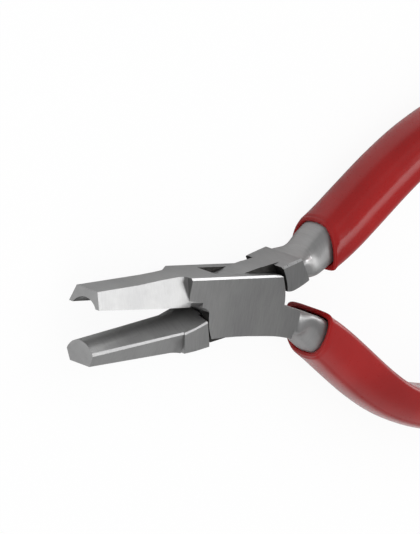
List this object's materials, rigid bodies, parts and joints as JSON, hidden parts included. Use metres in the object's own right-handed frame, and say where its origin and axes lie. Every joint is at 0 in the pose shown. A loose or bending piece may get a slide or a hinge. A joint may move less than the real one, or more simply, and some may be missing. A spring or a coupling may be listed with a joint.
{
  "type": "forming pliers",
  "caption": "Box-joint jewellery forming pliers with a concave upper jaw, a half-round lower jaw and dipped sleeve grips; lies flat on a bench.",
  "frame": {"origin": "on the pivot axis, on the lower side face of the joint", "axes": "the pliers lie flat: +Z along the pivot axis and up, jaws along -X, handles along +X, concave jaw on the +Y side, both halves opened equally about the X axis at rest"},
  "size_m": [0.1292, 0.0698, 0.0125],
  "materials": {
    "steel_box_half": "cross-ground satin steel",
    "steel_tongue_half": "cross-ground satin steel",
    "steel_rivet": "ground flush with the joint faces",
    "red_sleeve": "glossy dipped soft PVC"
  },
  "bodies": {
    "box_side": {"box_half": "steel_box_half", "pivot_rivet": "steel_rivet", "lower_grip_sleeve": "red_sleeve"},
    "tongue_side": {"tongue_half": "steel_tongue_half", "upper_grip_sleeve": "red_sleeve"}
  },
  "joints": [
    {"name": "jaw_pivot", "type": "hinge", "parent": "box_side", "child": "tongue_side", "pos_m": [0, 0, 0], "axis": [0, 0, 1], "range_deg": [-12.1, 8]}
  ]
}
